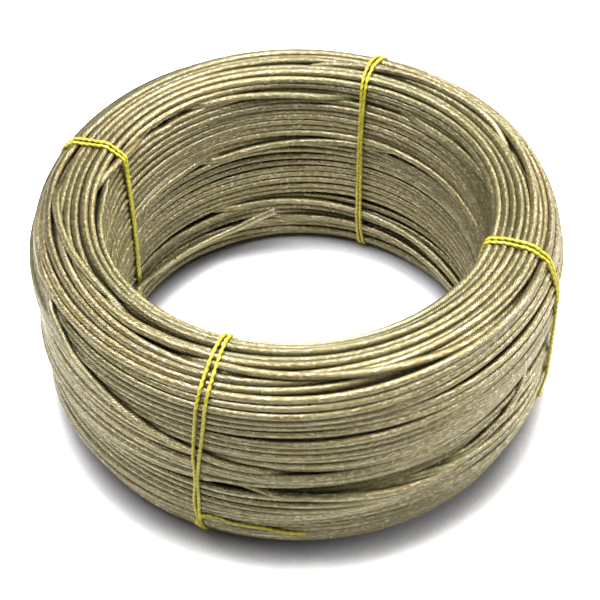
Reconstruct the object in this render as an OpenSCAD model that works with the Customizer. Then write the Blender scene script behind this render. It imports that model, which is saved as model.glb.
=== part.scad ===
/* [Rope] */
// Rope diameter over its plastic coat
rope_d = 5; // [3:0.25:8]

/* [Coil] */
// Outside diameter of the coil at its widest turns
coil_od = 350; // [300:5:600]
// Diameter of the bore at its narrowest turns
bore_d = 242; // [150:2:256]
// Height of the coil lying flat
coil_h = 160; // [135:5:260]
// Diameter of the circle that the highest and lowest turns lie on
crest_d = 274; // [262:1:310]
// Height of the widest turns above the floor
belly_z = 103; // [60:1:130]
// Squareness of the section (2 is an ellipse, 6 is nearly a rectangle)
edge_power = 3.2; // [2.5:0.1:6]
// How far neighbouring turns are pressed into each other
turn_press = 0.2; // [0.1:0.05:0.6]
// How far the lowest turns have settled into one flat layer
settle = 3; // [0:0.5:6]
// How far the coat of the lowest turns is flattened where the coil rests
rest_flat = 0.4; // [0.2:0.1:1]

/* [Ties] */
// Width of one strand of twine
twine_w = 2.4; // [1.5:0.1:4]
// Thickness of one strand of twine
twine_t = 1.6; // [1:0.1:2.5]
// How far the two strands of a tie are pressed into each other
twine_press = 0.3; // [0.1:0.1:0.6]
// Diameter of a tie's knot
knot_d = 6.4; // [5:0.2:10]
// Height of the knots above the floor
knot_z = 25; // [12:1:60]
// Direction of the front tie at the top of the coil, in degrees from +X
tie_front_at = -109; // [-130:0.5:-80]
// How far the front tie slants sideways between top and bottom, in degrees
tie_front_slant = 4.5; // [0:0.5:10]
// Direction of the left tie
tie_left_at = 158; // [156:0.5:175]
// Direction of the back tie
tie_back_at = 67; // [50:0.5:85]
// Direction of the right tie
tie_right_at = -21; // [-50:0.5:5]
// How far the front tie's long tail runs round the coil, in degrees
tail_angle = 22; // [5:1:60]
// Diameter of the tail
tail_d = 2.2; // [1:0.1:4]

/* [Fits] */
// Clearance between the turns and the twine or the free end that lies on them
fit_gap = 0.3; // [0.2:0.05:0.6]
// How much deeper than the twine its channel under the lowest turns is
channel_room = 1.1; // [1:0.1:2]

/* [Hidden] */

rope_colour = [0.63, 0.57, 0.37];
twine_colour = [0.87, 0.82, 0.2];
round_fn = 96;
rope_r = rope_d / 2;
crest_r = crest_d / 2;

// The winding's section: a superellipse through the centres of its surface turns, settled flat below
rest_z = rope_r - rest_flat;
outer_half = coil_od / 2 - rope_r - crest_r;
inner_half = crest_r - bore_d / 2 - rope_r;
top_half = coil_h - rope_r - belly_z;
bottom_half = belly_z - rest_z + settle;
function bulge(x) = sign(x) * pow(abs(x), 2 / edge_power);
function section(t) = [
    crest_r + (cos(t) > 0 ? outer_half : inner_half) * bulge(cos(t)),
    max(rest_z, belly_z + (sin(t) > 0 ? top_half : bottom_half) * bulge(sin(t)))];

// A place off the section, and the angles at which its lower quarters reach a height
function across(a, b) = [b[1] - a[1], a[0] - b[0]] / norm(b - a);
function beside(t, off) = section(t) + off * across(section(t - 1), section(t + 1));
function outer_angle(z) = -asin(pow((belly_z - z) / bottom_half, edge_power / 2));
function inner_angle(z) = 180 - outer_angle(z);

// Even spacing round the section, from the distance walked in steps of one degree
steps = [for (t = [1:360]) norm(section(t) - section(t - 1))];
walked = [for (t = 0, s = 0; t <= 360; s = s + (t < 360 ? steps[t] : 0), t = t + 1) s];
girth = walked[360];
angle_walked = [for (t = [0:360]) [walked[t], t]];
function angle_at(share) = lookup(share * girth, angle_walked);
turn_count = ceil(girth / (rope_d - turn_press));

// The loop that a tie follows, with its underside let into the lowest turns
tie_rings = 52;
strand_pitch = twine_w - twine_press;
function tie_path(ring) =
    let (p = beside(360 * ring / tie_rings, rope_r + fit_gap + twine_t / 2)) [p[0], max(p[1], twine_t / 2)];
function tie_turn(at, slant, z) = at - slant * (1 - z / coil_h);
knot_at = beside(outer_angle(knot_z), rope_r + fit_gap + knot_d / 2);
tail_at = beside(outer_angle(knot_z + knot_d / 4), rope_r + fit_gap + tail_d / 2);

// The free end of the rope: [direction in degrees, distance off the bore wall, height] along its centre
free_end_sides = 10;
free_end_route = [
    [152, 0, 33], [148, 0, 30], [144, 0, 28], [140, 0, 26.5], [136, 0, 25.5], [132, 0, 25],
    [128, 0, 24.5], [124, 0.2, 24.5], [120, 0.5, 25], [116, 1, 26], [112, 2, 28],
    [108, 3, 31.5], [104, 4, 35.5], [101, 5, 38.5], [98, 6, 42]];
function round_axis(turn, r, z) = [r * cos(turn), r * sin(turn), z];
function free_end_point(p) = round_axis(p[0], section(inner_angle(p[2]))[0] - rope_d - fit_gap - p[1], p[2]);

// Faces of a tube between its rings, with the last ring joined to the first in a loop
function ring_faces(rings, sides, looped) = [
    for (i = [0:rings - (looped ? 1 : 2)], j = [0:sides - 1])
        [i * sides + j, ((i + 1) % rings) * sides + j,
         ((i + 1) % rings) * sides + (j + 1) % sides, i * sides + (j + 1) % sides]];

module tube(path, d, sides) {
    last = len(path) - 1;
    points = [for (i = [0:last])
        let (ahead = path[min(i + 1, last)] - path[max(i - 1, 0)],
             side = cross(ahead, [0, 0, 1]) / norm(cross(ahead, [0, 0, 1])),
             up = cross(side, ahead) / norm(ahead))
        for (j = [0:sides - 1])
            path[i] + d / 2 * (sin(360 * j / sides) * up - cos(360 * j / sides) * side)];
    start_cap = [[for (j = [0:sides - 1]) j]];
    end_cap = [[for (j = [sides - 1:-1:0]) last * sides + j]];
    polyhedron(points, concat(ring_faces(last + 1, sides, false), start_cap, end_cap), convexity = 8);
}

// One strand of a tie: flat six-sided twine led round the section
module strand(at, slant, shift) {
    sides = 6;
    flat_half = twine_t / 2 / sin(60);
    points = [for (i = [0:tie_rings - 1])
        let (here = tie_path(i))
        for (j = [0:sides - 1])
            let (p = here + flat_half * sin(360 * j / sides) * across(tie_path(i - 1), tie_path(i + 1)),
                 sideways = shift - twine_w / 2 * cos(360 * j / sides))
            round_axis(tie_turn(at, slant, here[1]) + sideways / p[0] * 180 / PI, p[0], p[1])];
    polyhedron(points, ring_faces(tie_rings, sides, true), convexity = 8);
}

module tie(at, slant = 0) {
    color(twine_colour) {
        strand(at, slant, -strand_pitch / 2);
        strand(at, slant, strand_pitch / 2);
        rotate([0, 0, tie_turn(at, slant, knot_z)]) translate([knot_at[0], 0, knot_at[1]])
            sphere(d = knot_d, $fn = round_fn);
    }
}

// The channel that a tie lies in under the lowest turns
module tie_channel() {
    width = strand_pitch + twine_w + 2 * fit_gap;
    translate([crest_r - inner_half - rope_d, -width / 2, -1])
        cube([inner_half + outer_half + 2 * rope_d, width, 1 + twine_t + channel_room]);
}

module coil() {
    color(rope_colour) difference() {
        rotate_extrude($fn = round_fn) difference() {
            union() {
                polygon([for (i = [0:turn_count - 1]) section(angle_at(i / turn_count))]);
                for (i = [0:turn_count - 1]) translate(section(angle_at(i / turn_count)))
                    circle(rope_r, $fn = round_fn);
            }
            translate([0, -coil_h]) square([coil_od, coil_h]);
        }
        for (at = [tie_turn(tie_front_at, tie_front_slant, 0), tie_left_at, tie_back_at, tie_right_at])
            rotate([0, 0, at]) tie_channel();
    }
}

module free_end() {
    color(rope_colour) tube([for (p = free_end_route) free_end_point(p)], rope_d, free_end_sides);
}

// The front tie has a long tail, which lies along the lowest turns on the outside
module tie_front() {
    tie(tie_front_at, tie_front_slant);
    color(twine_colour) rotate([0, 0, tie_turn(tie_front_at, tie_front_slant, knot_z)])
        rotate_extrude(angle = tail_angle, $fn = round_fn) translate(tail_at) circle(d = tail_d, $fn = 24);
}

module tie_left() { tie(tie_left_at); }
module tie_back() { tie(tie_back_at); }
module tie_right() { tie(tie_right_at); }

coil();
free_end();
tie_front();
tie_left();
tie_back();
tie_right();
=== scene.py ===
import math
import bpy
import numpy as np
from mathutils import Matrix, Vector
from mathutils.geometry import convex_hull_2d


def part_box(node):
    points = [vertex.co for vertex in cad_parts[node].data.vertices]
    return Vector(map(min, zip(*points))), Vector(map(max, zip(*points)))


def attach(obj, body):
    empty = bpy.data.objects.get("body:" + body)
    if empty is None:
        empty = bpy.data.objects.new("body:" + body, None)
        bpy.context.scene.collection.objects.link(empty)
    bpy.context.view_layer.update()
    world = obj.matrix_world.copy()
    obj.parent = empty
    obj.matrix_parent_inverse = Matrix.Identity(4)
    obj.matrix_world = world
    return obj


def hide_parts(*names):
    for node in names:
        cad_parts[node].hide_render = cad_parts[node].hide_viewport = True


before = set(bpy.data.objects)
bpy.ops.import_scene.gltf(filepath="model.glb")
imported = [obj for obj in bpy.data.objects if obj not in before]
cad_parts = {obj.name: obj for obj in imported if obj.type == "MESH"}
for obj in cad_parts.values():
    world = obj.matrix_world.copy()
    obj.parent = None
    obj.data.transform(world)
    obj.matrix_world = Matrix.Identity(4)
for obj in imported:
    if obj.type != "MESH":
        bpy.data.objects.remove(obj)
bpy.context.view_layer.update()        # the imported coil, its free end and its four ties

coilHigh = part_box("coil")[1]      # its highest corner
print("frame loaded:", sorted(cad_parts))

cameraView = {
    "eye": (0.0, -0.7372, 0.8173),
    "aim": (0.0013, 0.0, 0.0613),
    "roll": -1.21,      # degrees
    "lens": 92.4,       # mm on a 36 mm sensor
}


def addObject(name, data):
    made = bpy.data.objects.new(name, data)
    bpy.context.scene.collection.objects.link(made)
    return made


def placeCamera(view):
    eye, aim = Vector(view["eye"]), Vector(view["aim"])
    ahead = (aim - eye).normalized()
    right = ahead.cross(Vector((0, 0, 1))).normalized()
    above = right.cross(ahead)
    roll = math.radians(view["roll"])
    turnedRight = right * math.cos(roll) + above * math.sin(roll)
    turnedAbove = above * math.cos(roll) - right * math.sin(roll)
    data = bpy.data.cameras.new("mainCamera")
    data.lens = view["lens"]
    data.sensor_width = 36
    data.clip_start = 0.01
    camera = addObject("mainCamera", data)
    axes = Matrix((turnedRight, turnedAbove, -ahead)).transposed().to_4x4()
    camera.matrix_world = Matrix.Translation(eye) @ axes
    bpy.context.scene.camera = camera


placeCamera(cameraView)
bpy.context.scene.view_settings.view_transform = "Standard"


class Wire:      # one socket of a node tree, with arithmetic
    def __init__(self, tree, socket=None):
        self.tree, self.socket = tree, socket

    def node(self, kind, settings=None, sockets=None, out=0):
        made = self.tree.nodes.new(kind)
        for name, value in (settings or {}).items():
            if name == "stops":
                elements = made.color_ramp.elements
                while len(elements) < len(value):
                    elements.new(1)
                for element, (place, colour) in zip(elements, value):
                    element.position, element.color = place, (*colour, 1)
            else:
                setattr(made, name, value)
        for key, value in (sockets or {}).items():
            if isinstance(value, Wire):
                self.tree.links.new(value.socket, made.inputs[key])
            else:
                made.inputs[key].default_value = value
        return Wire(self.tree, made.outputs[out] if len(made.outputs) else None)

    def maths(self, operation, *values):      # on this socket alone when no values are given
        inputs = dict(enumerate(values or (self,)))
        return self.node("ShaderNodeMath", {"operation": operation}, inputs)

    def outputs(self, *keys):      # other outputs of this socket's node
        return [Wire(self.tree, self.socket.node.outputs[key]) for key in keys]

    def __add__(self, other):
        return self.maths("ADD", self, other)

    def __radd__(self, other):
        return self.maths("ADD", other, self)

    def __sub__(self, other):
        return self.maths("SUBTRACT", self, other)

    def __rsub__(self, other):
        return self.maths("SUBTRACT", other, self)

    def __mul__(self, other):
        return self.maths("MULTIPLY", self, other)

    def __rmul__(self, other):
        return self.maths("MULTIPLY", other, self)


def blendColours(share, first, second):
    mixer = share.node("ShaderNodeMix", {"data_type": "RGBA"}, {0: share})
    made = mixer.socket.node
    for place, value in ((6, first), (7, second)):
        if isinstance(value, Wire):
            share.tree.links.new(value.socket, made.inputs[place])
        else:
            made.inputs[place].default_value = (*value, 1)
    return Wire(share.tree, made.outputs[2])


def easeWire(wire, low, high):      # 0 below low, 1 above high
    return wire.node("ShaderNodeMapRange", {"interpolation_type": "SMOOTHSTEP"},
                     {"Value": wire, "From Min": low, "From Max": high})


def splitPlace(place, count=3):
    return place.node("ShaderNodeSeparateXYZ", None, {0: place}).outputs(*range(count))


def alongRope(start):      # round a rope from 0 to 1, and along it in metres
    return splitPlace(start.node("ShaderNodeUVMap", {"uv_map": "along"}), 2)


def softNoise(start, place, detail=2.0, roughness=0.5):
    spot = start.node("ShaderNodeCombineXYZ", None, dict(enumerate(place)))
    return start.node("ShaderNodeTexNoise", {"noise_dimensions": "3D"},
                      {"Vector": spot, "Scale": 1.0, "Detail": detail, "Roughness": roughness})


def newMaterial(name):
    material = bpy.data.materials.new(name)
    material.use_nodes = True
    tree = material.node_tree
    tree.nodes.clear()
    return material, Wire(tree)


def finishMaterial(start, shader):
    start.node("ShaderNodeOutputMaterial", None, {"Surface": shader})


section = {
    "ropeDiameter": 0.005,
    "outerRadius": coilHigh[0],
    "height": coilHigh[2],
    "boreRadius": 0.121,
    "crestRadius": 0.137,      # circle of the highest turns
    "bellyHeight": 0.103,      # height of the widest turns
    "edgePower": 3.2,          # squareness
    "floorSettle": 0.003,      # how far its curve runs below the floor turns, which lie flat
    "samples": 1600,           # places worked out round the section
}
winding = {
    "slices": 180,             # places worked out on each turn
    "surfaceTurns": 69,
    "surfaceDepth": 0.0014,    # how far these lie below the section line
    "underTurns": 66,
    "underStart": 1.0,         # radians round from the free end, and
    "underWalk": 0.3,          # the share of the section at which the lower layer starts
    "layerStep": 0.0058,       # depth of the layer below
    "borePitch": 1.1,          # turns lie this much wider apart on the bore wall than outside
    "stagger": 0.0005,         # turns outside lie this much higher or deeper by turns
    # slow random wander: its size, and the slices between its knots
    "sway": (2.2, 400),        # of the stagger
    "tremble": (0.0004, 34),   # in depth
    "sidle": (0.0008, 30),     # along the section
    "bundle": 6,               # turns in a bundle that wanders together
    "bundleKnots": 9,          # places round the coil between which it wanders
    "bundleLift": 0.0013,
    "bundleSlide": 0.0014,
    "joinHeight": 0.045,       # where the first turn settles on the bore wall
    "settleAngle": 64,         # degrees in which the free end's turn settles
    "settleRise": 0.00066,     # how it climbs there, in metres a degree
    "settleBend": 0.0000045,   # and how that lessens
    "diveStart": 26,           # degrees into its last turn where the rope starts to go below
    "diveReach": 36,
    "dived": 0.19,             # share of a turn laid past the last whole one
    # how far each kind of rope may stand off the section line
    "limits": {"surface": 0.0021, "under": -0.003, "loose": 0.0055, "settling": 0.009, "freeEnd": 0.02},
    "seed": 7,
}
freeEnd = {
    "diameter": 0.005,
    "gap": 0.0003,             # clearance off the bore wall
    # paler colours and lighter painted groove shade than the turns of the same rope: painted light that makes
    # the free end show lighter
    "finish": {"gold": (0.52, 0.46, 0.24), "warmGold": (0.48, 0.41, 0.2), "greenGold": (0.44, 0.4, 0.18),
               "wireDepth": 0.0004, "paintedGrooveShade": (0.2, 0.17, 0.08), "coatWeight": 0.8},
    "sides": 14,
    # direction in degrees, distance off the bore wall in mm, height in mm
    "route": [
        (152, 0, 33), (148, 0, 30), (144, 0, 28), (140, 0, 26.5), (136, 0, 25.5), (132, 0, 25),
        (128, 0, 24.5), (124, 0.2, 24.5), (120, 0.5, 25), (116, 1, 26), (112, 2, 28),
        (108, 3, 31.5), (104, 4, 35.5), (101, 5, 38.5), (98, 6, 42)],
}
# direction and lean in degrees; turns nearer the axis than innermost pass over the tie
ties = {
    "frontTie": {"node": "tie_front", "at": -109, "slant": 4.5, "innermost": 0.118},
    "leftTie": {"node": "tie_left", "at": 158, "slant": 0, "innermost": 0.1222},
    "backTie": {"node": "tie_back", "at": 67, "slant": 0, "innermost": 0.118},
    "rightTie": {"node": "tie_right", "at": -21, "slant": 0, "innermost": 0.118},
}
# turns that have come loose and lie over their neighbours: side, then
# (direction in degrees, height or radius in mm, distance off the surface in mm)
looseTurns = [
    ("bore", [(134, 97, -5), (124, 97.5, -2.5), (114, 98.5, 1), (106, 99.3, 2.6), (96, 101, 3.4),
              (84, 103, 3.4), (70, 104, 3), (60, 104.5, 2), (50, 105.5, -1), (40, 106, -5)]),
    ("bore", [(58, 101, -5), (50, 102, -2), (42, 103, 1.4), (34, 105, 2), (25, 106, -1), (14, 106.5, -5)]),
    ("bore", [(62, 139, -5), (52, 139.5, -2), (44, 140, 1), (34, 142, 2.2), (22, 145, 2), (10, 149, 0.5),
              (-4, 151, -5)]),
    ("bore", [(138, 149, -5), (128, 148, -2), (118, 146, 1.4), (108, 144, 2.4), (94, 141.5, 2.6),
              (80, 139.5, 1), (64, 138, -5)]),
    ("bore", [(130, 39, -5), (118, 43, -1.5), (108, 46.5, 1.5), (98, 48, 3), (86, 45.5, 3.6), (74, 41.5, 3.4),
              (62, 39, 3.4), (50, 38.5, 4.2), (38, 34, 4.2), (24, 29, 3.5), (8, 27, 0), (-8, 26, -5)]),
    ("bore", [(112, 23, -5), (102, 26, -1.5), (93, 28.6, 1.8), (82, 28.6, 3), (70, 27, 3.2), (58, 26.5, 3.6),
              (46, 27, 4), (34, 20, 3), (20, 14, 0), (6, 12, -5)]),
    ("outer", [(-126, 157, -5), (-112, 156.5, -1.5), (-100, 156, 1.5), (-88, 156, 2.4), (-76, 155.6, 2),
               (-64, 154.5, 0.6), (-50, 152.5, -2), (-36, 151, -4), (-22, 150, -6)]),
    ("outer", [(-176, 156, -5), (-166, 151, -2), (-156, 144, 1.2), (-146, 135, 2), (-134, 119, 2.4),
               (-125, 107, 2.4), (-114, 96, 2), (-101, 88, 0.6), (-88, 85, -2), (-76, 84, -5)]),
    ("outer", [(-98, 50, -5), (-86, 52, -3.5), (-74, 55.5, -0.5), (-62, 61, 1.8), (-48, 69, 2.4),
               (-40, 76, 0.4), (-32, 83, -2.6), (-24, 90, -5)]),
    ("bore", [(182, 150, -5), (173, 151, -1), (166, 152, 2.8), (158, 152, 4), (150, 151, 3), (142, 149, -1),
              (133, 147, -5)]),
    ("outer", [(-112, 71, -5), (-100, 70.5, -2), (-88, 70, 1.2), (-76, 68, 2.6), (-62, 64, 3), (-48, 58, 2.2),
               (-34, 53, 0), (-20, 50, -2.5), (-8, 48, -5)]),
    ("outer", [(8, 54, -5), (20, 59, -2), (32, 67, 1.6), (44, 78, 2.2), (58, 91, 1.8), (72, 101, 0.6),
               (86, 106, -1.5), (98, 108, -5)]),
    ("outer", [(88, 132, -5), (100, 129, -2), (112, 124, 1.4), (124, 116, 2.6), (138, 103, 2.6),
               (152, 91, 1.2), (166, 85, -2), (178, 84, -5)]),
    ("top", [(8, 151, -5), (20, 150, -2), (32, 148.5, 1.2), (44, 146, 2.8), (58, 142, 3), (72, 139, 1.6),
             (86, 137.5, -2), (98, 137, -5)]),
    ("top", [(160, 159, -5), (171, 157, -1.5), (182, 153.5, 1.6), (194, 149.5, 2.8), (206, 146, 1.8),
             (218, 143.5, -1.5), (230, 143, -5)]),
]
# gaps that have opened between turns: side, (direction, height or radius in mm), width in mm
openGaps = [
    ("outer", [(-106, 124), (-97, 123), (-88, 119), (-75, 119), (-60, 119)], 5),
    ("outer", [(-112, 103), (-100, 102), (-90, 100), (-78, 98)], 4.2),
    ("outer", [(-104, 153), (-92, 152.5), (-77, 151.5), (-64, 150), (-54, 148)], 2.4),
    ("outer", [(-156, 92), (-149, 89.5), (-132, 93), (-121, 90), (-112, 91)], 3),
    ("outer", [(-70, 104), (-60, 107), (-50, 114), (-40, 126), (-30, 134)], 2.8),
    ("outer", [(-72, 66), (-58, 70), (-46, 78), (-38, 92), (-30, 110)], 2.6),
    ("bore", [(134, 147), (126, 145), (112, 142.5), (92, 139), (80, 137), (66, 136)], 4),
    ("bore", [(130, 46), (114, 51), (98, 54), (84, 51.5), (70, 47), (56, 45), (38, 41), (20, 35)], 4.4),
    ("bore", [(104, 37), (92, 36.5), (78, 35.5), (62, 33), (48, 32.5)], 4),
    ("top", [(150, 151), (160, 153), (170, 156), (182, 158)], 3.2),
    ("top", [(152, 132), (160, 131), (167, 133), (178, 136)], 3),
    ("top", [(196, 160), (208, 158), (222, 157), (236, 158)], 3),
]
settling = {
    "rounds": 150,
    "quickRounds": 50,
    "pull": 0.10,              # share of the way back to its course, in the first round
    "pullDrop": 0.07,          # and how much less in the last
    "smoothing": 0.55,         # how strongly a rope straightens between the slices beside it
    "stiffness": 0.28,         # and between slices bendReach away
    "bendReach": 5,
    "neighbours": 8,           # ropes on, to which each is compared
    "pressed": 0.985,          # how near two ropes may come, in rope diameters
    "push": 0.42,              # share of their overlap that each moves
    "pressBack": 0.6,          # share of its excess over its limit that a rope is pressed back
    "sink": 0.0036,            # how far below the lower layer a rope may lie
    "tieHold": 0.75,           # how much less the winding swells at a tie
    "tieReach": 13,            # and over how many degrees
    "tieRoom": 0.0017,         # room for a tie under the lowest turns
    "tieRoomReach": 6,
    "slipDepth": 0.008,        # how far the ends of a loose turn sink under its neighbours
    "slipReach": 10,           # and over how many slices
}
opening = {
    "fade": 15,                # degrees over which a gap opens and closes
    "decay": 0.012,            # distance beside it over which the push falls to about a third
    "perMetre": 1300,          # mm of gap for a metre of push
}
# gentle waves of whole bundles: waves round the coil, waves round the section, height in mm
bundleWaves = [(2, 8, 1.2), (3, 12, 1.3), (-2, 15, 1.1), (5, 11, 0.6), (-4, 20, 0.7), (1, 25, 0.3)]
slideWaves = [(1, 2, 2.2), (-2, 3, 2.0), (3, 5, 1.6), (-4, 7, 1.3), (5, 4, 1.1), (-6, 9, 0.7)]


def bulge(value, power):
    return np.sign(value) * np.abs(value) ** (2 / power)


# The section line through the centres of the surface turns, evenly walked, from the
# place where the first turn settles, up the bore wall, over the top and down outside
def walkSection(size):
    rope = size["ropeDiameter"] / 2
    turnRound = np.linspace(2 * math.pi, 0, 7200, endpoint=False)
    sideways = bulge(np.cos(turnRound), size["edgePower"])
    upwards = bulge(np.sin(turnRound), size["edgePower"])
    outerHalf = size["outerRadius"] - rope - size["crestRadius"]
    innerHalf = size["crestRadius"] - size["boreRadius"] - rope
    topHalf = size["height"] - rope - size["bellyHeight"]
    bottomHalf = size["bellyHeight"] - rope + size["floorSettle"]
    r = size["crestRadius"] + np.where(sideways > 0, outerHalf, innerHalf) * sideways
    z = np.maximum(rope, size["bellyHeight"] + np.where(upwards > 0, topHalf, bottomHalf) * upwards)
    lowBore = (r < size["crestRadius"]) & (z < size["bellyHeight"])
    first = int(np.argmin(np.where(lowBore, np.abs(z - winding["joinHeight"]), 9)))
    r, z = np.roll(r, -first), np.roll(z, -first)
    r, z = np.append(r, r[0]), np.append(z, z[0])
    walked = np.append(0, np.cumsum(np.hypot(np.diff(r), np.diff(z))))
    evenly = np.linspace(0, walked[-1], size["samples"] + 1)
    r, z = np.interp(evenly, walked, r)[:-1], np.interp(evenly, walked, z)[:-1]
    along = np.stack([np.roll(r, -4) - np.roll(r, 4), np.roll(z, -4) - np.roll(z, 4)], 1)
    along /= np.linalg.norm(along, axis=1)[:, None]
    outward = np.stack([-along[:, 1], along[:, 0]], 1)
    line = np.stack([r, z], 1)
    if np.sum(outward * (line - line.mean(0))) < 0:
        outward = -outward
    return {"line": line, "along": along, "outward": outward,
            "girth": walked[-1], "step": walked[-1] / len(r)}


home = walkSection(section)
girth = home["girth"]


def homePlace(walk, depth):      # the place at a distance walked round the section
    index = (walk / home["step"]) % len(home["line"])
    low = np.floor(index).astype(int)
    share = (index - low)[:, None]
    low %= len(home["line"])
    high = (low + 1) % len(home["line"])
    place = home["line"][low] * (1 - share) + home["line"][high] * share
    outward = home["outward"][low] * (1 - share) + home["outward"][high] * share
    return place + outward * depth[:, None]


def walkTo(side, value):         # distance walked to a height or radius given in mm, on one side
    r, z = home["line"][:, 0], home["line"][:, 1]
    value = value / 1000
    miss = {
        "bore": np.where(r < section["crestRadius"], np.abs(z - value), 9),
        "outer": np.where(r > section["crestRadius"], np.abs(z - value), 9),
        "top": np.where(z > section["bellyHeight"], np.abs(r - value), 9),
    }[side]
    return int(np.argmin(miss)) * home["step"]


def smoothKnots(x, knotX, knotY):      # smooth line through hand-set knots
    slope = np.gradient(knotY, knotX)
    where = np.clip(np.searchsorted(knotX, x) - 1, 0, len(knotX) - 2)
    wide = knotX[where + 1] - knotX[where]
    t = np.clip((x - knotX[where]) / wide, 0, 1)
    return ((1 + 2 * t) * (1 - t) ** 2 * knotY[where] + t * (1 - t) ** 2 * wide * slope[where]
            + t * t * (3 - 2 * t) * knotY[where + 1] + t * t * (t - 1) * wide * slope[where + 1])


def easing(t):
    t = np.clip(t, 0, 1)
    return t * t * (3 - 2 * t)


def drift(kind, count, source):        # slow random wander along a rope, about its size either way
    size, spacing = winding[kind]
    knots = source.normal(size=count // spacing + 3)
    place = np.arange(count) / spacing
    low = place.astype(int)
    share = easing(place - low)
    return size * (knots[low] * (1 - share) + knots[low + 1] * share)


def waves(settings, angle, walk, source):
    total = np.zeros(len(walk))
    for roundCoil, roundSection, height in settings:
        phase = source.uniform(0, 2 * math.pi)
        total += height / 1000 * np.sin(roundCoil * angle + roundSection * 2 * math.pi * walk / girth + phase)
    return total


def tieAngle(tie, height):             # direction of a tie at a height, in radians
    return np.radians(tie["at"] - tie["slant"] * (1 - height / section["height"]))


def angleOff(angle, other):            # signed difference of two directions
    return (angle - other + math.pi) % (2 * math.pi) - math.pi


def nearTie(angle, place, width):      # 1 at a tie, fading to 0 at width degrees off
    close = np.zeros(len(angle))
    for tie in ties.values():
        off = np.degrees(np.abs(angleOff(angle, tieAngle(tie, place[:, 1]))))
        close = np.maximum(close, easing(1 - off / width))
    return close


def spacedWalk(share):                 # walked distance at a share of the surface rope, wider on the bore
    grid = np.linspace(0, girth, 2000)
    boreEnd, bottomStart = walkTo("bore", 150), walkTo("outer", 8)
    onBore = np.maximum(1 - easing((grid - boreEnd + 0.02) / 0.03), easing((grid - bottomStart) / 0.05))
    # how many turns lie up to each place on the grid
    turnsThere = np.cumsum(1 / (1 + (winding["borePitch"] - 1) * onBore))
    return np.interp(share, (turnsThere - turnsThere[0]) / (turnsThere[-1] - turnsThere[0]), grid)


def swell(angle, walk):                # how much of the waves shows: most outside, least at a tie
    outside = easing((walk - walkTo("top", 150)) / 0.02) * easing((girth - walk) / 0.06)
    held = nearTie(angle, homePlace(walk, np.zeros(len(walk))), 15)
    return (0.3 + 1.1 * outside) * (1 - settling["tieHold"] * held)


def bundleWander(angle, turnNumber, source):     # lift and slide that neighbouring turns share
    bundles = int(winding["surfaceTurns"] / winding["bundle"]) + 3
    knots = winding["bundleKnots"]
    lift, slide = source.normal(size=(2, bundles, knots))
    place = (angle / (2 * math.pi) * knots) % knots
    low = place.astype(int)
    share = easing(place - low)
    # bundles' borders wander round the coil, and one bundle blends into the next near them
    number = turnNumber / winding["bundle"] + 0.35 * np.sin(angle * 2 + 1) + 0.25 * np.sin(angle * 3)
    here = np.clip(number.astype(int), 0, bundles - 2)
    cross = easing((number - here - 0.7) / 0.3)

    def wander(table, bundle):
        return table[bundle, low] * (1 - share) + table[bundle, (low + 1) % knots] * share

    return [amount * (wander(table, here) * (1 - cross) + wander(table, here + 1) * cross)
            for table, amount in ((lift, winding["bundleLift"]), (slide, winding["bundleSlide"]))]


def openingShift(angle, walk):         # how far the open gaps push turns along the section
    shift = np.zeros(len(walk))
    degrees = np.degrees(angle)
    for side, knots, width in openGaps:
        directions, values = np.array(sorted(knots), float).T
        places = np.array([walkTo(side, value) for value in values])
        low, high = directions[0], directions[-1]
        off = (degrees - low + 180) % 360 - 180 + low
        middle = np.interp(off, directions, places)
        within = easing((off - low) / opening["fade"]) * easing((high - off) / opening["fade"])
        away = (walk - middle + girth / 2) % girth - girth / 2
        push = within * np.sign(away) * width / opening["perMetre"]
        shift += push * np.exp(-np.abs(away) / opening["decay"])
    return shift


def freeEndKnots():                    # directions of its route's knots, and their places
    directions, offs, heights = np.array(sorted(freeEnd["route"]), float).T
    r, z = home["line"][:, 0], home["line"][:, 1]
    wall = [np.argmin(np.where(r < section["crestRadius"], np.abs(z - height), 9))
            for height in heights / 1000]
    radii = r[wall] - freeEnd["diameter"] - freeEnd["gap"] - offs / 1000
    return directions, np.stack([radii, heights / 1000], 1)


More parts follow.
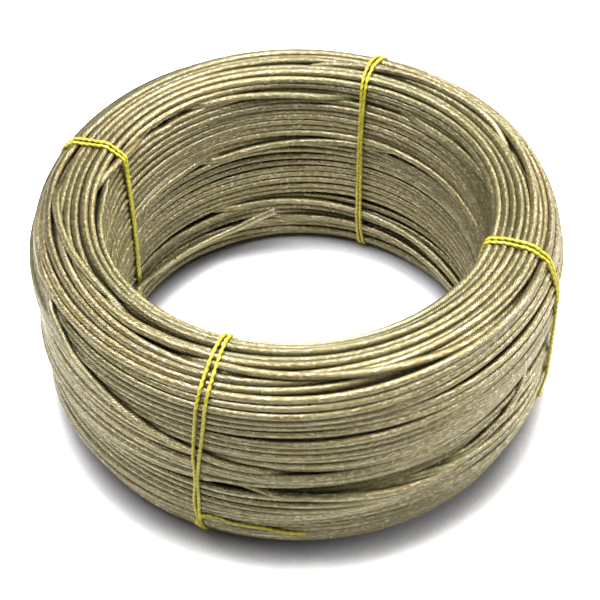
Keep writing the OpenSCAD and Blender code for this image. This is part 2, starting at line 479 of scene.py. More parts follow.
# Every rope in the winding is a run of places, one in each slice it passes
def layRopes():
    source = np.random.default_rng(winding["seed"])
    slices, step, limits = winding["slices"], winding["layerStep"], winding["limits"]
    freeDirections, freePlaces = freeEndKnots()
    start = np.radians(freeDirections[-1])
    runs = []

    def addRun(name, angle, walk, depth, limit):
        runs.append({"name": name, "angle": angle, "target": homePlace(walk, depth),
                     "limit": np.full(len(angle), limit), "fixed": np.zeros(len(angle), bool)})
        return runs[-1]

    # the surface rope, from the free end round to where it goes below
    turns = winding["surfaceTurns"]
    count = int(slices * (turns + winding["dived"]))
    turned = np.arange(count) * 2 * math.pi / slices
    angle = start + turned
    walk = spacedWalk(turned / (2 * math.pi * turns))
    degrees = np.degrees(turned)
    lastDegrees = degrees - 360 * turns
    # side by side on the bore wall, staggered elsewhere
    dense = easing((walk - walkTo("bore", 135)) / 0.03)
    turnNumber = turned / (2 * math.pi)
    sway = np.cos(math.pi * turnNumber + drift("sway", count, source))
    depth = -winding["surfaceDepth"] - winding["stagger"] * dense * sway + drift("tremble", count, source)
    depth -= step * easing((lastDegrees - winding["diveStart"]) / winding["diveReach"])
    bundleLift, bundleSlide = bundleWander(angle, turnNumber, source)
    walk = walk + waves(slideWaves, angle, walk, source) + drift("sidle", count, source) + bundleSlide
    walk = walk + openingShift(angle, walk)
    depth = depth + (bundleLift + waves(bundleWaves, angle, walk, source)) * swell(angle, walk)
    surface = addRun("surface", angle, walk, depth, limits["surface"])
    settle = easing(degrees / winding["settleAngle"])[:, None]
    startRadius, startHeight = freePlaces[-1]
    climb = startHeight + winding["settleRise"] * degrees - winding["settleBend"] * degrees ** 2
    leaving = np.stack([np.full(count, startRadius), climb], 1)
    surface["target"] = np.where(degrees[:, None] < winding["settleAngle"],
                                 leaving * (1 - settle) + surface["target"] * settle, surface["target"])
    surface["fixed"][:5] = True
    surface["limit"][degrees < winding["settleAngle"]] = limits["settling"]

    # the layer below it, which crosses the other way
    count = slices * winding["underTurns"]
    turned = np.arange(count) * 2 * math.pi / slices
    angle = start + winding["underStart"] + turned
    walk = girth * (winding["underWalk"] - turned / (2 * math.pi * winding["underTurns"]))
    walk = walk + waves(slideWaves, angle, walk, source)
    under = waves(bundleWaves, angle, walk, source) * swell(angle, walk % girth)
    addRun("under", angle, walk, under - step, limits["under"])

    # loose turns
    for number, (side, knots) in enumerate(looseTurns):
        directions, values, depths = np.array(sorted(knots), float).T
        first = math.ceil(directions[0] * slices / 360)
        last = math.floor(directions[-1] * slices / 360)
        degrees = np.arange(first, last + 1) * 360 / slices
        places = np.unwrap([walkTo(side, value) for value in values], period=girth)
        depth = smoothKnots(degrees, directions, depths / 1000)
        walk = smoothKnots(degrees, directions, places)
        addRun("loose%d" % number, np.radians(degrees), walk, depth, limits["loose"])

    # the free end itself, which the turns make way for
    degrees = np.arange(freeDirections[0], freeDirections[-1], 360 / slices)
    nowhere = np.zeros(len(degrees))
    ends = addRun("freeEnd", np.radians(degrees), nowhere, nowhere, limits["freeEnd"])
    ends["target"] = np.stack([smoothKnots(degrees, freeDirections, freePlaces[:, k]) for k in (0, 1)], 1)
    ends["fixed"][:] = True
    return runs


# Measures how far places are walked round the section line and how far they lie off it;
# the nearest sample of the line is looked up on a fine grid
def sectionMeasure():
    cell, margin, batch = 0.0005, 0.02, 8000
    corner = home["line"].min(0) - margin
    size = np.ceil((home["line"].max(0) + margin - corner) / cell).astype(int)
    gridR, gridZ = np.meshgrid(np.arange(size[0]), np.arange(size[1]), indexing="ij")
    cells = np.stack([gridR.ravel(), gridZ.ravel()], 1) * cell + corner
    nearest = np.zeros(len(cells), int)
    coarse = home["line"][::2]
    for low in range(0, len(cells), batch):
        part = cells[low:low + batch]
        gaps = (part[:, None, 0] - coarse[None, :, 0]) ** 2 + (part[:, None, 1] - coarse[None, :, 1]) ** 2
        nearest[low:low + batch] = np.argmin(gaps, 1) * 2
    nearest = nearest.reshape(size)

    def measure(place):
        index = np.clip(np.round((place - corner) / cell).astype(int), 0, size - 1)
        sample = nearest[index[:, 0], index[:, 1]]
        away = place - home["line"][sample]
        depth = np.sum(away * home["outward"][sample], 1)
        walk = sample * home["step"] + np.sum(away * home["along"][sample], 1)
        return sample, depth, walk % girth

    return measure


def sliceTable(angle):      # which places lie in each slice
    slices = winding["slices"]
    sliceOf = np.round(angle * slices / (2 * math.pi)).astype(int) % slices
    counts = np.bincount(sliceOf, minlength=slices)
    order = np.argsort(sliceOf, kind="stable")
    column = np.arange(len(angle)) - np.repeat(np.cumsum(counts) - counts, counts)
    members = np.zeros((slices, counts.max()), int)
    members[sliceOf[order], column] = order
    present = np.arange(counts.max())[None] < counts[:, None]
    return members, present, counts


# Turns push each other apart, each rope stays smooth, and ties and the floor hold them in
def settleRopes(runs):
    rope, rounds = section["ropeDiameter"], settling["rounds"]
    angle, target, limit, fixed = (np.concatenate([run[key] for run in runs])
                                   for key in ("angle", "target", "limit", "fixed"))
    starts = np.cumsum([0] + [len(run["angle"]) for run in runs])
    number = np.arange(len(angle))
    inRun = np.searchsorted(starts, number, side="right") - 1
    fromEnds = np.minimum(number - starts[inRun], starts[inRun + 1] - 1 - number)
    bends = [(reach, share, np.nonzero((fromEnds >= reach) & ~fixed)[0])
             for reach, share in ((1, settling["smoothing"]), (settling["bendReach"], settling["stiffness"]))]
    measure = sectionMeasure()
    members, present, counts = sliceTable(angle)

    def neighbours(place):      # pairs of ropes in one slice, near each other, and their distance
        keys = np.where(present, measure(place)[2][members], 9)
        ranked = np.take_along_axis(members, np.argsort(keys, axis=1), 1)
        for reach in range(1, settling["neighbours"] + 1):
            beside = (np.arange(members.shape[1])[None] + reach) % counts[:, None]
            a, b = ranked[present], np.take_along_axis(ranked, beside, 1)[present]
            apart = place[a] - place[b]
            yield a, b, apart, np.hypot(apart[:, 0], apart[:, 1]) + 1e-9

    def deepestOverlap(place):      # mm
        return max((rope - pair[3]).max() for pair in neighbours(place)) * 1000

    place = target.copy()
    floorHeight = rope / 2 + settling["tieRoom"] * nearTie(angle, place, settling["tieRoomReach"])
    pinched = (limit > 0.001) & (target[:, 0] > section["crestRadius"])
    ceiling = limit * (1 - settling["tieHold"] * nearTie(angle, place, settling["tieReach"]) * pinched)
    lowest = -winding["layerStep"] - settling["sink"]
    for turn in range(rounds):
        pull = settling["pull"] - settling["pullDrop"] * (turn / rounds)
        place += pull * (target - place) * (~fixed)[:, None]
        for reach, share, bending in bends:
            bent = (place[bending - reach] + place[bending + reach]) / 2 - place[bending]
            place[bending] += share * bent
        push = np.zeros_like(place)
        for a, b, apart, distance in neighbours(place):
            overlap = np.maximum(0, rope * settling["pressed"] - distance)
            move = apart * (overlap / distance)[:, None] * settling["push"]
            push[a] += move
            push[b] -= move
        place += push * (~fixed)[:, None]
        sample, depth, _ = measure(place)
        excess = np.maximum(0, depth - ceiling) * settling["pressBack"]
        short = np.maximum(0, lowest - depth)
        place += home["outward"][sample] * ((short - excess) * ~fixed)[:, None]
        place[:, 1] = np.where(fixed, place[:, 1], np.maximum(place[:, 1], floorHeight))
    inward = -home["outward"][measure(place)[0]]
    for first, last, run in zip(starts, starts[1:], runs):
        run["place"] = place[first:last]
        if run["name"].startswith("loose"):      # both ends slip under their neighbours
            steps = np.arange(last - first)
            sunk = easing(1 - np.minimum(steps, steps[::-1]) / settling["slipReach"])
            run["place"] = run["place"] + inward[first:last] * (settling["slipDepth"] * sunk)[:, None]
    tucked = np.concatenate([run["place"] for run in runs])
    print("winding settled: deepest overlap %.2f mm, %.2f mm once the loose ends are tucked in"
          % (deepestOverlap(place), deepestOverlap(tucked)))
    return runs


ropes = settleRopes(layRopes())


def pathTree(name):      # sweeps a round or flattened section along every path of a piece
    tree = bpy.data.node_groups.new(name, "GeometryNodeTree")
    start = Wire(tree)
    inputs = (("Path", "NodeSocketGeometry"), ("Width", "NodeSocketFloat"), ("Thickness", "NodeSocketFloat"),
              ("Sides", "NodeSocketInt"), ("Twist", "NodeSocketFloat"), ("Finish", "NodeSocketMaterial"))
    for label, kind in inputs:
        tree.interface.new_socket(label, in_out="INPUT", socket_type=kind)
    tree.interface.new_socket("Swept", in_out="OUTPUT", socket_type="NodeSocketGeometry")
    path, width, thickness, sides, twist, finish = start.node("NodeGroupInput").outputs(*range(6))
    circle = start.node("GeometryNodeCurvePrimitiveCircle", None, {"Resolution": sides, "Radius": 0.5})
    scale = start.node("ShaderNodeCombineXYZ", None, {"X": width, "Y": thickness, "Z": 1.0})
    outline = start.node("GeometryNodeTransform", None, {"Geometry": circle, "Scale": scale})
    upright = start.node("GeometryNodeSetCurveNormal", {"mode": "Z_UP"}, {"Curve": path})
    walked = start.node("GeometryNodeSplineParameter", None, None, 1)
    turning = start.node("GeometryNodeSetCurveTilt", None, {"Curve": upright, "Tilt": walked * twist})
    swept = start.node("GeometryNodeCurveToMesh", None,
                       {"Curve": turning, "Profile Curve": outline, "Fill Caps": True})
    smooth = start.node("GeometryNodeSetShadeSmooth", None, {"Geometry": swept})
    real = start.node("GeometryNodeRealizeInstances", None, {"Geometry": smooth})
    done = start.node("GeometryNodeSetMaterial", None, {"Geometry": real, "Material": finish})
    start.node("NodeGroupOutput", None, {"Swept": done})
    return tree


sweepPaths = pathTree("sweepPaths")


def sweep(name, paths, width, thickness, sides, finish, twist=0.0):
    curve = bpy.data.curves.new(name + "Path", "CURVE")
    curve.dimensions = "3D"
    for points in paths:
        spline = curve.splines.new("POLY")
        spline.points.add(len(points) - 1)
        spline.points.foreach_set("co", np.hstack([points, np.ones((len(points), 1))]).ravel())
    guide = addObject(name + "Guide", curve)
    grown = guide.modifiers.new("sweep", "NODES")
    grown.node_group = sweepPaths
    values = {"Width": width, "Thickness": thickness, "Sides": sides, "Twist": twist, "Finish": finish}
    for item in sweepPaths.interface.items_tree:
        if item.item_type == "SOCKET" and item.in_out == "INPUT" and item.name in values:
            grown[item.identifier] = values[item.name]
    mesh = bpy.data.meshes.new_from_object(guide.evaluated_get(bpy.context.evaluated_depsgraph_get()))
    guide.modifiers.remove(grown)
    bpy.data.objects.remove(guide)
    mesh.name = name
    layMaps(mesh, paths, sides, math.pi * (width + thickness) / 2)
    return addObject(name, mesh)


def layUv(mesh, name, x, y):
    layer = mesh.uv_layers.new(name=name)
    layer.uv.foreach_set("vector", np.stack([x, y], 1).astype(np.float32).ravel())
    return layer


def walkedAlong(points):
    return np.append(0, np.cumsum(np.linalg.norm(np.diff(points, axis=0), axis=1)))


def readNumbers(items, name):
    numbers = np.zeros(len(items), int)
    items.foreach_get(name, numbers)
    return numbers


# Where the last face of a ring ends on its first corner, the map runs on to the full count
def closeRing(number, count, starts, sizes):
    lowest = np.repeat(np.minimum.reduceat(number, starts), sizes)
    highest = np.repeat(np.maximum.reduceat(number, starts), sizes)
    return np.where((highest == count - 1) & (lowest == 0) & (number == 0), count, number)


# "along" runs once round the rope and in metres along it; "OFBake" lays it out in rows,
# with narrow margins, and the end caps in a row of their own
def layMaps(mesh, paths, sides, girthOfRope):
    walked, total = [], 0.0
    for points in paths:
        walked.append(total + walkedAlong(points))
        total = walked[-1][-1] + 0.1      # a clear step before the next path
    walked = np.concatenate(walked)
    corners = readNumbers(mesh.loops, "vertex_index")
    starts = readNumbers(mesh.polygons, "loop_start")
    sizes = readNumbers(mesh.polygons, "loop_total")
    ring, side = corners // sides, corners % sides
    lowRing = np.repeat(np.minimum.reduceat(ring, starts), sizes)
    cap = np.repeat(sizes > 4, sizes)
    u = np.where(cap, side, closeRing(side, sides, starts, sizes)) / sides
    along = layUv(mesh, "along", u, walked[ring])
    rows = max(1, round(math.sqrt(walked[-1] / girthOfRope)))
    perRow = math.ceil(len(walked) / rows)
    rows = math.ceil(len(walked) / perRow) + 1
    row = lowRing // perRow
    sideMargin, rowMargin, capWidth, capHeight = 0.3, 0.06, 0.3, 0.4
    x = (ring - row * perRow + sideMargin) / (perRow + 2 * sideMargin)
    y = (row + rowMargin + (1 - 2 * rowMargin) * u) / rows
    capTurn = 2 * math.pi * side / sides
    capNumber = np.repeat(np.cumsum(sizes > 4) - 1, sizes)
    capsOnRow = max(1, int((sizes > 4).sum()))
    x = np.where(cap, (capNumber + 0.5 + capWidth * np.cos(capTurn)) / capsOnRow, x)
    y = np.where(cap, (rows - 0.5 + capHeight * np.sin(capTurn)) / rows, y)
    layUv(mesh, "OFBake", x, y)
    mesh.uv_layers.active = along
    along.active_render = True


def roundAxis(angle, place):
    return np.stack([place[:, 0] * np.cos(angle), place[:, 0] * np.sin(angle), place[:, 1]], 1)


def finishPiece(piece, slot, *nodes):
    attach(piece, "root")
    if nodes:
        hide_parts(*nodes)
    return piece


ropeFinish = {
    "wires": 12,                 # that show round the rope
    "layLength": 0.02,           # one turn of a wire round the rope
    "wireDepth": 0.0005,         # relief of the wires under the coat
    "gold": (0.35, 0.305, 0.125),
    # pale tint, and the colour of the painted glints
    "paleGoldAndGlint": (0.96, 0.88, 0.64),
    "warmGold": (0.31, 0.24, 0.09),
    "greenGold": (0.24, 0.23, 0.06),
    # painted shade: the colour laid between wires and in crevices
    "paintedGrooveShade": (0.03, 0.024, 0.006),
    "paintedGrooveShare": 0.62,         # how strongly shade is painted between wires
    "tintScale": (0.7, 3.1),     # how finely tints change round the rope and along it
    "glintScale": (13, 300),     # and glints
    "bundleScale": 75,           # how finely shades change from bundle to bundle
    "bundleAlong": 6,            # and round the coil
    "crevice": 0.005,            # how near another turn must lie for shade to be painted on this one
    "creviceShade": (0.12, 0.72),      # painted shade in crevices: how open a place is where darkest, and where plain
    "metallic": 0.85,
    "roughness": (0.40, 0.16),   # dull places and glints
    "coatWeight": 0.6,
    "coatRoughness": 0.2,
}


def ropeMaterial(name, finish):
    material, start = newMaterial(name)
    u, v = alongRope(start)
    wirePlace = u * finish["wires"] + v * (finish["wires"] / finish["layLength"])
    wire = wirePlace.maths("FRACT") * 2 - 1
    crest = (1 - wire * wire * 0.96).maths("SQRT")
    # slow changes of tint along the rope, and quick glints on single wires, painted into the colour as
    # highlights and also set in roughness and relief
    aroundScale, alongScale = finish["tintScale"]
    slow = softNoise(start, (u * aroundScale, v * alongScale, 0.4), 3.0, 0.6)
    aroundScale, alongScale = finish["glintScale"]
    glint = softNoise(start, (u * aroundScale, v * alongScale, 1.7), 2.0, 0.7)
    # neighbouring turns share a shade, in bundles round the coil
    x, y, z = splitPlace(start.node("ShaderNodeTexCoord", None, None, 3))
    radius = (x * x + y * y).maths("SQRT")
    scale = finish["bundleScale"]
    bundle = softNoise(start, (radius * scale, z * scale, (x + y) * finish["bundleAlong"]))
    tint = start.node("ShaderNodeValToRGB", {"stops": [
        (0.30, finish["greenGold"]), (0.45, finish["gold"]), (0.58, finish["warmGold"]),
        (0.66, finish["gold"]), (0.80, finish["paleGoldAndGlint"])]}, {0: slow + (bundle - 0.5) * 0.5})
    # painted glints: pale colour on the crests of wires where the glint noise is high
    bright = blendColours(easeWire(glint, 0.42, 0.72) * crest * 0.8, tint, finish["paleGoldAndGlint"])
    # painted shade between the wires, where their relief sinks
    between = easeWire(wire * wire, 0.3, 1.0) * finish["paintedGrooveShare"]
    wired = blendColours(between, bright, finish["paintedGrooveShade"])
    # painted shade in crevices, where other turns lie close, and a darker tone in the darker bundles
    free = start.node("ShaderNodeAmbientOcclusion", {"samples": 4}, {"Distance": finish["crevice"]}, 1)
    lit = 0.25 + 0.75 * easeWire(free, *finish["creviceShade"])
    shade = 0.66 + 0.4 * easeWire(bundle, 0.36, 0.62)
    colour = blendColours(lit * shade, finish["paintedGrooveShade"], wired)
    bump = start.node("ShaderNodeBump", None, {
        "Strength": 1.0, "Distance": finish["wireDepth"], "Height": crest + glint * 0.4})
    dull, shiny = finish["roughness"]
    finishMaterial(start, start.node("ShaderNodeBsdfPrincipled", None, {
        "Base Color": colour, "Metallic": finish["metallic"], "Roughness": dull - (dull - shiny) * glint,
        "Normal": bump, "Coat Weight": finish["coatWeight"] * (0.3 + 0.7 * crest),
        "Coat Roughness": finish["coatRoughness"], "Coat IOR": 1.5}))
    return material


coatedRope = ropeMaterial("coatedRope", ropeFinish)


def ropePiece(name, paths, sides=12):
    size = section["ropeDiameter"]
    return finishPiece(sweep(name, paths, size, size, sides, coatedRope), "coated_rope", "coil")


# where each piece of the surface turns ends: side, and height in mm
surfaceCuts = {"turnsBore": ("bore", 147), "turnsTop": ("outer", 150), "turnsOuter": ("outer", 20)}


# The surface turns in four pieces, cut where the left tie hides the joins
def surfacePieces():
    rope = ropes[0]
    points = roundAxis(rope["angle"], rope["place"])
    cutAt = math.radians(ties["leftTie"]["at"])
    hidden = np.nonzero(np.abs(angleOff(rope["angle"], cutAt)) < math.pi / winding["slices"] * 1.01)[0]
    edges = [0]
    for cut in surfaceCuts.values():
        count = walkTo(*cut) / girth * winding["surfaceTurns"] * winding["slices"]
        edges.append(int(hidden[np.argmin(np.abs(hidden - count))]))
    edges.append(len(points) - 1)
    for name, low, high in zip([*surfaceCuts, "turnsBottom"], edges, edges[1:]):
        ropePiece(name, [points[low:high + 1]])


surfacePieces()
print("surface turns made")

under = next(run for run in ropes if run["name"] == "under")
ropePiece("turnsUnder", [roundAxis(under["angle"], under["place"])[::2]], sides=8)      # little shows
loosePaths = [roundAxis(run["angle"], run["place"]) for run in ropes if run["name"].startswith("loose")]
ropePiece("turnsLoose", loosePaths)
print("under and loose turns made")


innerTurns = {
    "ribs": 60,
    "ribHeight": 0.0022,
    "layersDown": 2,
    "around": 96,                # faces round the coil
    "floorGap": 0.001,
}


# The turns further in, which only show through gaps
def innerCore(settings):
    ribs, around = settings["ribs"], settings["around"]
    samples = ribs * 4
    walk = np.arange(samples) * girth / samples
    acrossRib = ((walk / girth * ribs) % 1) * 2 - 1
    rib = -0.0009 + settings["ribHeight"] * np.sqrt(np.maximum(0, 1 - acrossRib ** 2))
    place = homePlace(walk, rib - settings["layersDown"] * winding["layerStep"])
    place[:, 1] = np.maximum(place[:, 1], settings["floorGap"])
    angle = np.arange(around) * 2 * math.pi / around
    points = np.concatenate([roundAxis(np.full(samples, a), place) for a in angle])
    faces = []
    for i in range(around):
        for j in range(samples):
            a, b = i * samples, ((i + 1) % around) * samples
            faces.append((a + j, b + j, b + (j + 1) % samples, a + (j + 1) % samples))
    mesh = bpy.data.meshes.new("turnsInner")
    mesh.from_pydata(points.tolist(), [], faces)
    mesh.shade_smooth()
    corner = readNumbers(mesh.loops, "vertex_index")
    starts = np.arange(0, len(corner), 4)
    ring = closeRing(corner // samples, around, starts, 4)
    side = closeRing(corner % samples, samples, starts, 4)
    layUv(mesh, "along", side / samples * ribs, ring / around * 0.9)
    layUv(mesh, "OFBake", 0.01 + 0.98 * side / samples, 0.01 + 0.98 * ring / around)
    mesh.materials.append(coatedRope)
    return addObject("turnsInner", mesh)


finishPiece(innerCore(innerTurns), "coated_rope", "coil")
print("inner turns made")


cutEnd = {
    "wireRings": [(1, 0.0), (6, 0.00095), (12, 0.0018)],      # wires, and how far from the middle
    "wireSize": 0.00088,
    "wireLength": 0.0012,
    "proud": 0.00025,            # how far the wires stand out of the cut
    "rimRadius": 0.00222,
    "rimSize": 0.0005,
    "steel": (0.60, 0.55, 0.40),
    "plastic": (0.80, 0.78, 0.66),
}


def plainMaterial(name, colour, metallic, roughness):
    material, start = newMaterial(name)
    finishMaterial(start, start.node("ShaderNodeBsdfPrincipled", None, {
        "Base Color": (*colour, 1), "Metallic": metallic, "Roughness": roughness}))
    return material


def makeCutEnd(path):      # the wires' ends, and the rim of the coat around them
    tip, ahead = path[-1], path[-1] - path[-3]
    ahead /= np.linalg.norm(ahead)
    side = np.cross(ahead, (0, 0, 1))
    side /= np.linalg.norm(side)
    above = np.cross(side, ahead)

    def spot(radius, turn, forward):
        return tip + radius * (math.cos(turn) * side + math.sin(turn) * above) + forward * ahead

    wirePaths = []
    for count, radius in cutEnd["wireRings"]:
        for turn in np.arange(count) * 2 * math.pi / count:
            first = cutEnd["proud"] - cutEnd["wireLength"]
            wirePaths.append(np.array([spot(radius, turn, first), spot(radius, turn, cutEnd["proud"])]))
    wires = sweep("freeEndWires", wirePaths, cutEnd["wireSize"], cutEnd["wireSize"], 8,
                  plainMaterial("cutSteel", cutEnd["steel"], 0.9, 0.35))
    rimPath = np.array([spot(cutEnd["rimRadius"], turn, 0.0) for turn in np.linspace(0, 2 * math.pi, 33)])
    rim = sweep("freeEndRim", [rimPath], cutEnd["rimSize"], cutEnd["rimSize"], 8,
                plainMaterial("cutPlastic", cutEnd["plastic"], 0.0, 0.4))
    return [finishPiece(wires, None), finishPiece(rim, None)]


def makeFreeEnd(settings):
    directions, places = (knots[::-1] for knots in freeEndKnots())
    fine = np.linspace(directions[0], directions[-1], 55)
    place = np.stack([smoothKnots(-fine, -directions, places[:, k]) for k in (0, 1)], 1)
    path = roundAxis(np.radians(fine), place)
    # a paler, lit copy of the rope material: painted light
    piece = sweep("freeEnd", [path], settings["diameter"], settings["diameter"], settings["sides"],
                  ropeMaterial("freeRope", {**ropeFinish, **settings["finish"]}))
    finishPiece(piece, "coated_rope", "free_end")
    makeCutEnd(path)


makeFreeEnd(freeEnd)


twine = {
    "width": 0.0026,
    "thickness": 0.0017,
    "sides": 8,
    "twistLength": 0.009,   # one turn of the twisted strand
    "gap": -0.0004,         # below 0 it presses into the coat
    "knotHeight": 0.025,
    "knotSize": 0.0012,
    "points": 420,
    "loopRounds": 4,        # rounds of smoothing
    "tailRounds": 6,
    # share of the way round from the knot, outside upwards, and the strands' distance in mm
    "spread": [(0, 0.8), (0.04, 2.4), (0.2, 2.7), (0.3, 3.4), (0.37, 4.3), (0.42, 3.8), (0.48, 2.5),
               (0.75, 2.6), (0.96, 2.2), (1, 0.8)],
    "frontSpread": [(0, 0.8), (0.04, 2.2), (0.09, 3.0), (0.14, 1.5), (0.2, 3.6), (0.27, 5.2), (0.36, 5.0),
                    (0.42, 4.0), (0.48, 2.8), (0.75, 2.6), (0.96, 2.2), (1, 0.8)],
    # degrees round from the knot, and height in mm
    "frontTail": [(0.3, 25), (1.0, 31), (2.6, 36), (4.8, 34), (7.4, 31.5), (11.4, 31), (15.4, 29.5),
                  (19.4, 27.5), (23.4, 26)],
    "shortTails": [[(0.2, 26), (0.9, 29), (1.9, 34)], [(-0.2, 24), (-1.0, 21.5), (-2.3, 21)]],
}


twineFinish = {
    "darkYellow": (0.66, 0.56, 0.03),
    "yellow": (0.84, 0.78, 0.05),
    "paleYellow": (0.93, 0.90, 0.14),
    "fibreGapShade": (0.50, 0.39, 0.02),
    "fibreDepth": 0.0002,
    "roughness": 0.34,
    "coatWeight": 0.3,
}


def twineMaterial(name, finish):
    material, start = newMaterial(name)
    u, v = alongRope(start)
    fibre = softNoise(start, (u * 26 + v * 40, v * 60, 0.0), 3.0, 0.6)
    slow = softNoise(start, (u, v * 90, 5.0))
    tint = start.node("ShaderNodeValToRGB", {"stops": [
        (0.30, finish["darkYellow"]), (0.5, finish["yellow"]), (0.7, finish["paleYellow"])]}, {0: slow})
    # painted shade between fibres: the low places of the fibre relief are laid darker
    colour = blendColours(easeWire(fibre, 0.35, 0.6), finish["fibreGapShade"], tint)
    bump = start.node("ShaderNodeBump", None, {
        "Strength": 1.0, "Distance": finish["fibreDepth"], "Height": fibre})
    finishMaterial(start, start.node("ShaderNodeBsdfPrincipled", None, {
        "Base Color": colour, "Roughness": finish["roughness"], "Normal": bump,
        "Coat Weight": finish["coatWeight"]}))
    return material


yellowTwine = twineMaterial("yellowTwine", twineFinish)


# The tight loop round every turn that the tie passes
def tieLoop(tie):
    crossings = []
    for run in ropes:
        angle, place = run["angle"], run["place"]
        off = angleOff(angle, tieAngle(tie, place[:, 1]))
        passes = np.nonzero((off[:-1] * off[1:] <= 0) & (np.abs(off[:-1]) < 0.2) & (np.abs(off[1:]) < 0.2))[0]
        share = (off[passes] / (off[passes] - off[passes + 1] + 1e-12))[:, None]
        crossings.append(place[passes] * (1 - share) + place[passes + 1] * share)
    centres = np.concatenate(crossings)
    centres = centres[centres[:, 0] > tie["innermost"]]      # turns further in pass over it
    reach = section["ropeDiameter"] / 2 + twine["gap"] + (twine["width"] + twine["thickness"]) / 4
    circle = np.arange(24) * math.pi / 12
    rims = (centres[:, None] + reach * np.stack([np.cos(circle), np.sin(circle)], 1)).reshape(-1, 2)
    hull = rims[convex_hull_2d([Vector(rim) for rim in rims])]
    if np.sum(hull[:, 0] * np.roll(hull[:, 1], -1) - np.roll(hull[:, 0], -1) * hull[:, 1]) < 0:
        hull = hull[::-1]
    return hull          # anticlockwise: outside upwards, over the top, down the bore


def tiePaths(name, tie):
    hull = tieLoop(tie)
    # starts and ends at the knot, low on the outside
    outer = np.where(hull[:, 0] > section["crestRadius"], np.abs(hull[:, 1] - twine["knotHeight"]), 9)
    hull = np.roll(hull, -int(np.argmin(outer)), axis=0)
    closed = np.vstack([hull, hull[:1]])
    walked = walkedAlong(closed)
    even = np.linspace(0, walked[-1], twine["points"])
    loop = np.stack([np.interp(even, walked, closed[:, k]) for k in (0, 1)], 1)
    for again in range(twine["loopRounds"]):
        loop[1:-1] = (loop[:-2] + 2 * loop[1:-1] + loop[2:]) / 4
    loop[:, 1] = np.maximum(loop[:, 1], twine["thickness"] / 2 + 0.0002)
    share, spacing = zip(*twine["frontSpread" if name == "frontTie" else "spread"])
    apart = smoothKnots(even / walked[-1], np.array(share, float), np.array(spacing, float)) / 2000
    paths = [roundAxis(tieAngle(tie, loop[:, 1]) + side * apart / loop[:, 0], loop) for side in (-1, 1)]
    return paths, loop[0] + np.array([0.0004, 0]), float(tieAngle(tie, loop[0, 1]))


# How far out twine lies on the turns at a direction and height
def outsideAt(angle, height):
    reach = section["ropeDiameter"] / 2 + (twine["width"] + twine["thickness"]) / 4
    farthest = 0
    for run in ropes:
        rise = run["place"][:, 1] - height
        there = (np.abs(angleOff(run["angle"], angle)) < math.radians(1.6)) & (np.abs(rise) < reach)
        if there.any():
            farthest = max(farthest, np.max(run["place"][there, 0] + np.sqrt(reach ** 2 - rise[there] ** 2)))
    return farthest


def tailPath(angle, knots):
    turn, height = np.array(knots, float).T
    fine = np.linspace(0, 1, 12 * len(knots))
    share = np.linspace(0, 1, len(knots))
    angles = angle + np.radians(smoothKnots(fine, share, turn))
    heights = smoothKnots(fine, share, height) / 1000
    radii = np.array([outsideAt(a, h) for a, h in zip(angles, heights)])
    for again in range(twine["tailRounds"]):
        radii[1:-1] = np.maximum(radii[1:-1], (radii[:-2] + radii[2:]) / 2)
    return roundAxis(angles, np.stack([radii, heights], 1))


def knotPath(angle, place, size):
    t = np.linspace(0, 2 * math.pi, 60, endpoint=False)
    sideways = (np.sin(t) + 2 * np.sin(2 * t)) / 3 * size * 1.5
    upwards = (np.cos(t) - 2 * np.cos(2 * t)) / 3 * size * 1.3
    outwards = -np.sin(3 * t) * size * 0.42 + size * 0.3
    out = np.array([math.cos(angle), math.sin(angle), 0])
    side = np.array([-math.sin(angle), math.cos(angle), 0])
    middle = np.array([place[0] * out[0], place[0] * out[1], place[1]])
    path = middle + np.outer(sideways, side) + np.outer(outwards, out) + np.outer(upwards, (0, 0, 1))
    return np.vstack([path, path[:2]])


for name, tie in ties.items():
    paths, knot, angle = tiePaths(name, tie)
    paths.append(knotPath(angle, knot, twine["knotSize"]))
    tails = twine["shortTails"]
    if name == "frontTie":
        tails = [twine["frontTail"], tails[0]]
    paths += [tailPath(angle, tail) for tail in tails]
    finishPiece(sweep(name, paths, twine["width"], twine["thickness"], twine["sides"], yellowTwine,
                      2 * math.pi / twine["twistLength"]), "plastic_twine", tie["node"])
print("ties made")


studio = {
    "floorSize": 40.0,
    "floorColour": (0.63, 0.63, 0.63),
    "seenFloor": (3.6, 3.6, 3.6),      # the floor as the camera sees it, white but for its shadows
    "paintedCornerShadow": (0.42, 0.42, 0.47),  # and its painted shadow close beside the coil
    "cornerReach": 0.06,
    "cornerShade": (0.42, 0.97),       # painted shadow: how shut in the floor is where darkest, and where plain
    "whiteFrom": 0.34,                 # past this distance the floor is plain white
    "mirrorShare": 0.1,                # how much of the white background shows in mirror-like surfaces
    "sky": (0.95, 0.97, 1.0),
    "skyStrength": 0.03,
    # place, aim, width, height, watts, colour
    "lamps": {
        "topLamp": ((-0.08, 0.16, 1.35), (0, 0, 0.05), 1.7, 0.95, 37, (1.0, 0.99, 0.97)),
        "backLamp": ((0.3, 1.3, 1.2), (0, 0, 0.08), 1.8, 0.6, 0.8, (1.0, 0.99, 0.97)),
        "rightLamp": ((1.45, -0.2, 0.55), (0, 0, 0.1), 1.1, 0.5, 14, (1.0, 0.99, 0.97)),
        "leftLamp": ((-1.45, 0.1, 0.42), (0, 0, 0.1), 1.1, 0.5, 5.5, (1.0, 0.99, 0.98)),
        "frontLamp": ((0.02, -0.06, 0.85), (0, -0.14, 0.15), 0.8, 0.3, 4.6, (1.0, 0.99, 0.97)),
    },
}


def seenDirectly(start):      # 1 where the camera or a mirror-like surface looks at the background
    camera, glossy, clear = start.node("ShaderNodeLightPath").outputs(
        "Is Camera Ray", "Is Glossy Ray", "Is Transmission Ray")
    return camera + glossy * studio["mirrorShare"] + clear


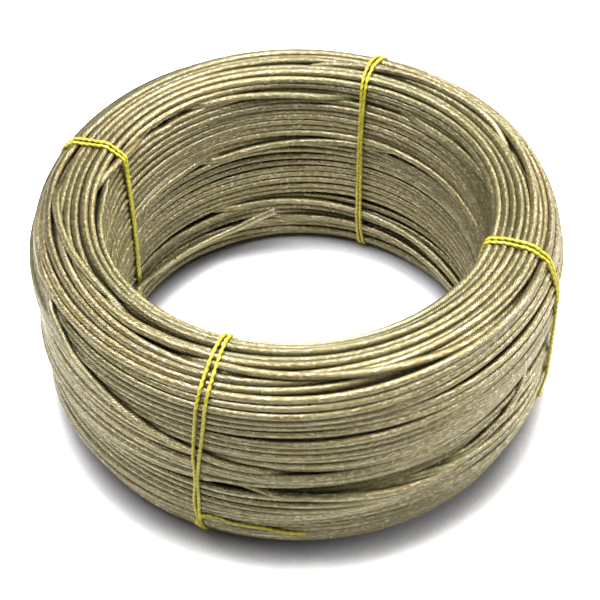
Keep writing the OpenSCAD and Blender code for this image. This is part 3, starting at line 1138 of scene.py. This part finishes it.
def makeStudio(settings):
    half = settings["floorSize"] / 2
    mesh = bpy.data.meshes.new("floor")
    corners = [(-half, -half, 0), (half, -half, 0), (half, half, 0), (-half, half, 0)]
    mesh.from_pydata(corners, [], [(0, 1, 2, 3)])
    floor = addObject("floor", mesh)
    material, start = newMaterial("paleFloor")
    matt = start.node("ShaderNodeBsdfDiffuse", None, {"Color": (*settings["floorColour"], 1)})
    # painted shadow: the floor the camera sees darkens where the coil shuts it in, on top of the lamps' own
    # shadows
    corner = start.node("ShaderNodeAmbientOcclusion", {"samples": 8},
                        {"Distance": settings["cornerReach"]}, 1)
    beside = easeWire(corner, *settings["cornerShade"])
    seenColour = blendColours(beside, settings["paintedCornerShadow"], settings["seenFloor"])
    seenMatt = start.node("ShaderNodeBsdfDiffuse", None, {"Color": seenColour})
    white = start.node("ShaderNodeEmission", None, {"Strength": 1.0})
    place = start.node("ShaderNodeTexCoord", None, None, 3)
    away = start.node("ShaderNodeVectorMath", {"operation": "LENGTH"}, {0: place}, 1)
    share = easeWire(away, settings["whiteFrom"], settings["whiteFrom"] * 2)
    seen = start.node("ShaderNodeMixShader", None, {0: share, 1: seenMatt, 2: white})
    finishMaterial(start, start.node("ShaderNodeMixShader", None, {0: seenDirectly(start), 1: matt, 2: seen}))
    mesh.materials.append(material)
    world = bpy.data.worlds.new("studioWorld")
    world.use_nodes = True
    world.node_tree.nodes.clear()
    start = Wire(world.node_tree)
    sky = start.node("ShaderNodeBackground", None,
                     {"Color": (*settings["sky"], 1), "Strength": settings["skyStrength"]})
    pale = start.node("ShaderNodeBackground", None, {"Color": (1, 1, 1, 1), "Strength": 1.0})
    mixed = start.node("ShaderNodeMixShader", None, {0: seenDirectly(start), 1: sky, 2: pale})
    start.node("ShaderNodeOutputWorld", None, {"Surface": mixed})
    bpy.context.scene.world = world
    for name, (place, aim, width, height, watts, colour) in settings["lamps"].items():
        data = bpy.data.lights.new(name, "AREA")
        data.shape = "RECTANGLE"
        data.size, data.size_y, data.energy, data.color = width, height, watts, colour
        lamp = addObject(name, data)
        lamp.location = place
        lamp.rotation_euler = (Vector(aim) - Vector(place)).to_track_quat("-Z", "Y").to_euler()


makeStudio(studio)
print("studio made")
